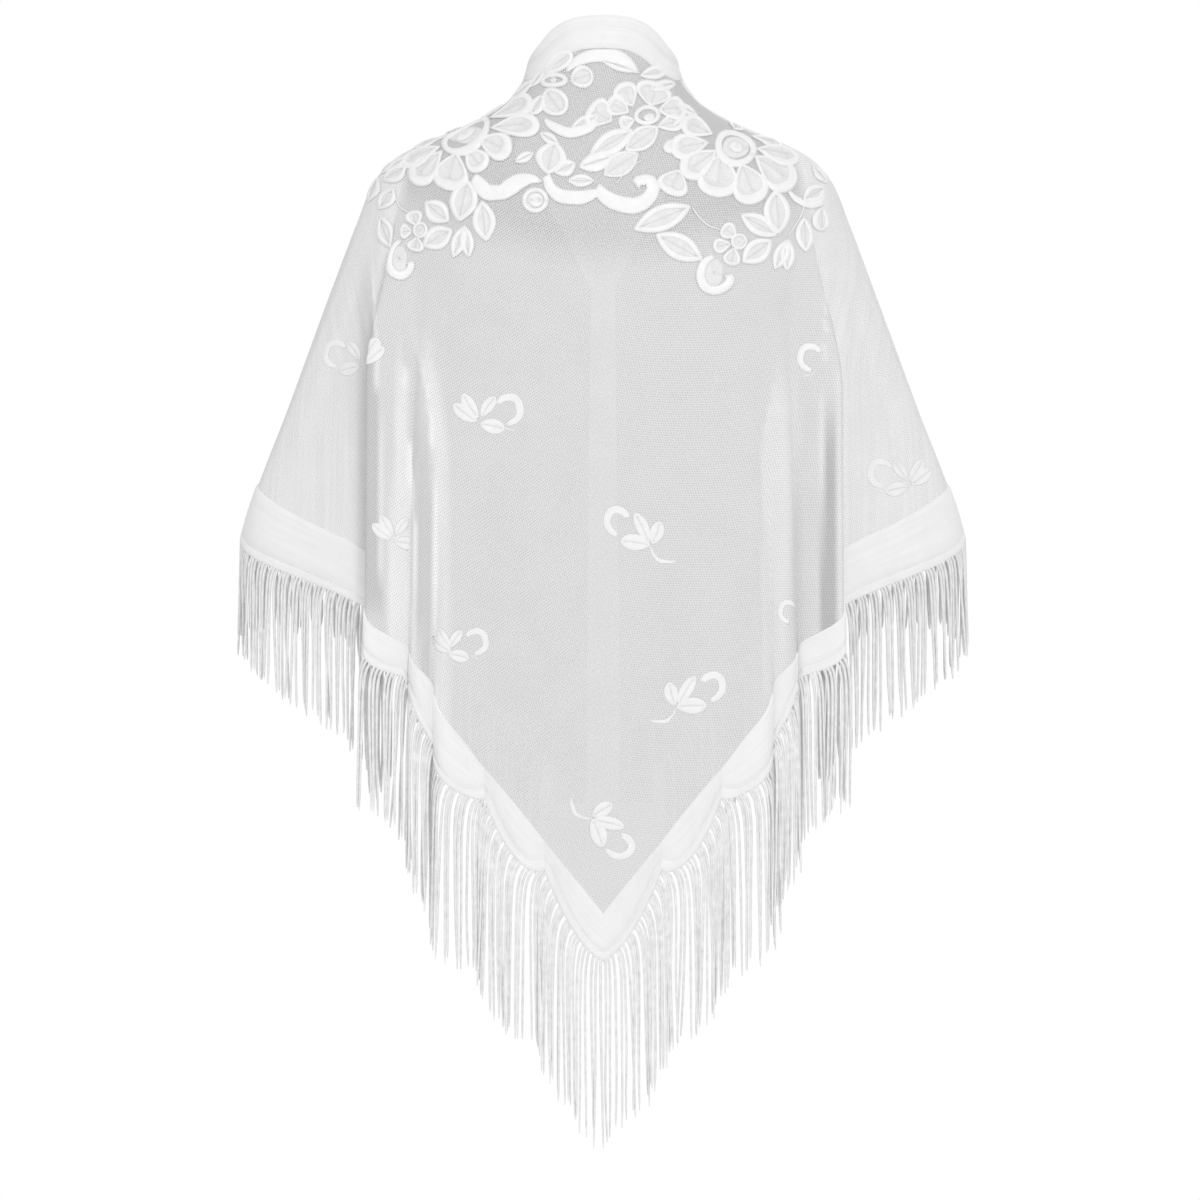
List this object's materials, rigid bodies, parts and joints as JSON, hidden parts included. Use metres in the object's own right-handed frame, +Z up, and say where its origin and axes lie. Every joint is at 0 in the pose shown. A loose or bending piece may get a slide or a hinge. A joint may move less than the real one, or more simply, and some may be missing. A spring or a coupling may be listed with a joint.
{
  "type": "embroidered shawl",
  "caption": "Triangular net shawl in its worn shape, with raised lace flowers and scrolls at the shoulders, scattered sprigs, a smooth border band and a long fringe.",
  "frame": {"origin": "middle of the neck opening at the height where the neck meets the wearer's shoulders, at the mount wearer_shoulders", "axes": "+Z up; -Y is the wearer's back, where the point of the triangle hangs; +X is the wearer's right"},
  "size_m": [0.6426, 0.2699, 0.9833],
  "materials": {
    "net": "sheer knotted net, matt",
    "band": "smooth close tape with a faint sheen",
    "lace_cord": "raised corded lace",
    "fringe_yarn": "soft twisted yarn"
  },
  "bodies": {
    "root": {"net_body": "net", "neck_front_band": "band", "hem_band_left": "band", "hem_band_right": "band", "fringe_left": "fringe_yarn", "fringe_right": "fringe_yarn", "yoke_flower_left": "lace_cord", "yoke_flower_right": "lace_cord", "yoke_blossom_middle": "lace_cord", "yoke_blossom_neck": "lace_cord", "yoke_blossom_low": "lace_cord", "yoke_ring_right": "lace_cord", "yoke_ring_left": "lace_cord", "yoke_crescent_neck": "lace_cord", "yoke_crescent_high": "lace_cord", "yoke_leaf_left": "lace_cord", "yoke_leaf_middle": "lace_cord", "yoke_leaf_right": "lace_cord", "yoke_scroll_left": "lace_cord", "yoke_crescent_low": "lace_cord", "yoke_scroll_right": "lace_cord", "yoke_leaf_low": "lace_cord", "yoke_leaf_tip": "lace_cord", "spray_right_high": "lace_cord", "spray_right_low": "lace_cord", "curl_right": "lace_cord", "spray_left_high": "lace_cord", "spray_left_low": "lace_cord", "curl_left": "lace_cord", "sprig_centre": "lace_cord", "sprig_lower": "lace_cord", "sprig_point": "lace_cord", "sprig_left_high": "lace_cord", "sprig_left_arm": "lace_cord", "sprig_left_fold": "lace_cord", "sprig_left_low": "lace_cord", "sprig_right_arm": "lace_cord", "sprig_right_high": "lace_cord", "sprig_right_low": "lace_cord"}
  },
  "joints": []
}
